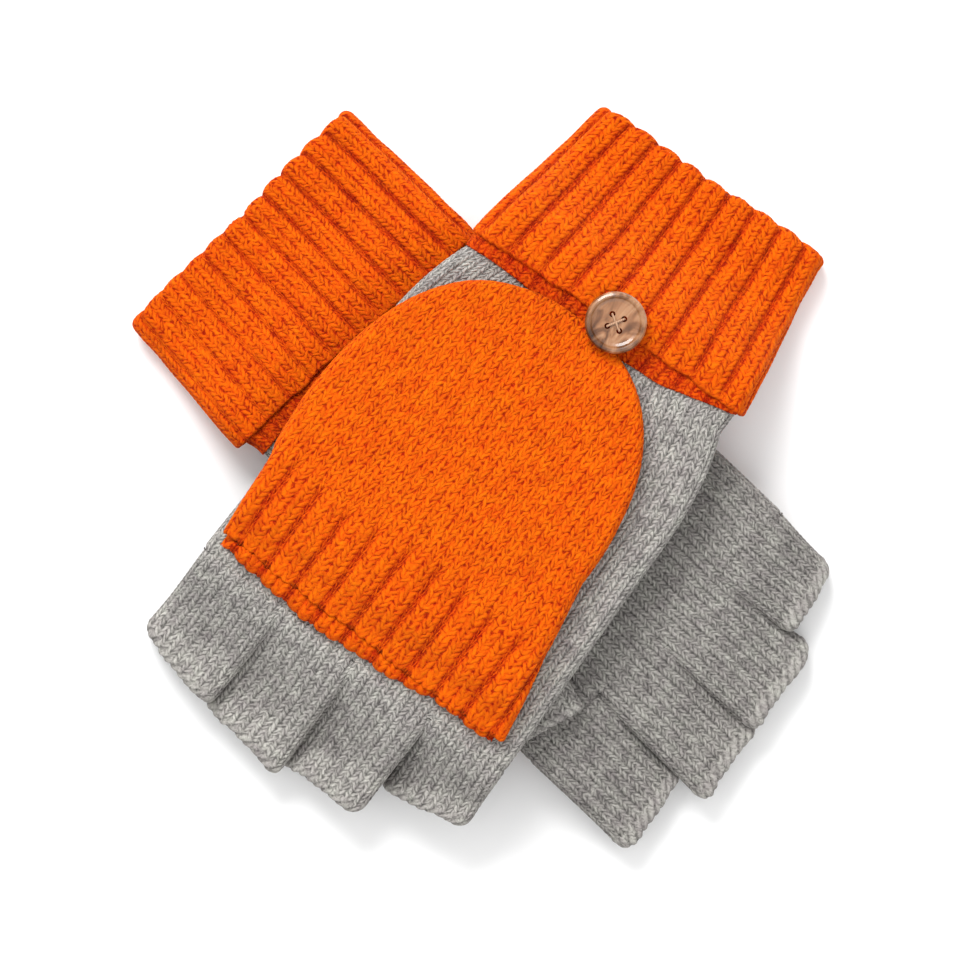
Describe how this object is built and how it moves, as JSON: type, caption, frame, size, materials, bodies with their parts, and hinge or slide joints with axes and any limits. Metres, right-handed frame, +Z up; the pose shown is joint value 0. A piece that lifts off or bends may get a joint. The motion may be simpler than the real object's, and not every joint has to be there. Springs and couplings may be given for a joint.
{
  "type": "convertible mittens",
  "caption": "Pair of knitted flip-top mittens laid crossed, with half-finger stubs, folded-back flaps, turned-up ribbed cuffs and buttons.",
  "frame": {"origin": "on the surface the pair lies on, at the crossing of the two gloves' centre lines, which is the middle of the footprint", "axes": "+Z up; +Y along the upper (right-hand) glove from its fingers to its cuff; +X towards its thumb side"},
  "size_m": [0.2091, 0.203, 0.0373],
  "materials": {
    "grey_knit": "heather knit",
    "orange_knit": "ribbed knit",
    "horn": "polished, marbled",
    "thread": "waxed thread"
  },
  "bodies": {
    "left_glove": {"left_hand": "grey_knit", "left_index": "grey_knit", "left_middle": "grey_knit", "left_ring": "grey_knit", "left_little": "grey_knit", "left_thumb": "grey_knit", "left_cuff_inner": "orange_knit", "left_cuff_turnup": "orange_knit", "left_flap_seam": "orange_knit"},
    "left_flap": {"left_flap_cap": "orange_knit", "left_flap_rib": "orange_knit", "left_loop": "orange_knit"},
    "left_button_disc": {"left_button": "horn", "left_button_thread": "thread"},
    "right_glove": {"right_hand": "grey_knit", "right_index": "grey_knit", "right_middle": "grey_knit", "right_ring": "grey_knit", "right_little": "grey_knit", "right_thumb": "grey_knit", "right_cuff_inner": "orange_knit", "right_cuff_turnup": "orange_knit", "right_flap_seam": "orange_knit"},
    "right_flap": {"right_flap_cap": "orange_knit", "right_flap_rib": "orange_knit", "right_loop": "orange_knit"},
    "right_button_disc": {"right_button": "horn", "right_button_thread": "thread"}
  },
  "joints": [
    {"name": "right_glove_lift", "type": "slide", "parent": "left_glove", "child": "right_glove", "axis": [0, 0, 1], "range_m": [0, 0.06]},
    {"name": "right_flap_flip", "type": "hinge", "parent": "right_glove", "child": "right_flap", "pos_m": [0, -0.0585, 0.0349], "axis": [1, 0, 0], "range_deg": [0, 180], "deforming": ["right_loop"]},
    {"name": "left_flap_flip", "type": "hinge", "parent": "left_glove", "child": "left_flap", "pos_m": [0.05789, -0.00844, 0.0024], "axis": [-0.1444, -0.9895, 0], "range_deg": [0, 150], "deforming": ["left_loop"]},
    {"name": "right_button_turn", "type": "hinge", "parent": "right_glove", "child": "right_button_disc", "pos_m": [0.002, 0.054, 0.0315], "axis": [0, 0, 1], "range_deg": [-40, 40]},
    {"name": "left_button_turn", "type": "hinge", "parent": "left_glove", "child": "left_button_disc", "pos_m": [-0.05314, 0.00977, 0.0058], "axis": [0, 0, -1], "range_deg": [-40, 40]}
  ]
}
